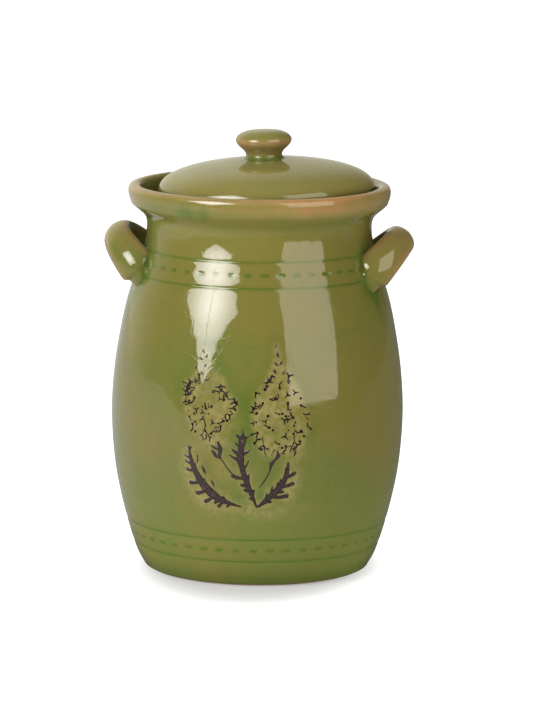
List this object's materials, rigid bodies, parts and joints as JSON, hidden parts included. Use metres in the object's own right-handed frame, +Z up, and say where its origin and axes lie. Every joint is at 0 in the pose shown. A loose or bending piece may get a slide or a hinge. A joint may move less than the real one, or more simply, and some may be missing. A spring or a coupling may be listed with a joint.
{
  "type": "ceramic crock fermenter",
  "caption": "Barrel-shaped glazed stoneware fermenting crock with ear handles, a water-channel rim, a loose knobbed lid and half-moon weighting stones.",
  "frame": {"origin": "middle of the foot, on the surface the crock stands on", "axes": "+Z up along the crock's turning axis, +X from the left handle to the right handle, -Y out of the decorated front"},
  "size_m": [0.2096, 0.197, 0.297],
  "materials": {
    "green_glaze": "clear olive-green gloss glaze with fine crackle, darker green where it pools and tan where it thins over edges",
    "rim_glaze": "the same gloss glaze breaking to tan and orange over the rim",
    "inlay": "dark aubergine slip in pressed plant shapes, satin",
    "bare_foot": "wiped, unglazed stoneware foot",
    "stone_clay": "unglazed buff stoneware, fine grit"
  },
  "bodies": {
    "crock": {"crock_body": "green_glaze", "channel_shelf": "green_glaze", "rim_wall": "rim_glaze", "mouth_wall": "green_glaze", "left_handle": "green_glaze", "right_handle": "green_glaze"},
    "lid": {"lid_dome": "green_glaze", "lid_knob": "green_glaze"},
    "stone_left": {"weight_stone_left": "stone_clay"},
    "stone_right": {"weight_stone_right": "stone_clay"}
  },
  "joints": [
    {"name": "lid_lift", "type": "slide", "parent": "crock", "child": "lid", "axis": [0, 0, 1], "range_m": [0, 0.12]},
    {"name": "stone_left_lift", "type": "slide", "parent": "crock", "child": "stone_left", "axis": [0, 0, 1], "range_m": [0, 0.22]},
    {"name": "stone_right_lift", "type": "slide", "parent": "crock", "child": "stone_right", "axis": [0, 0, 1], "range_m": [0, 0.22]}
  ]
}
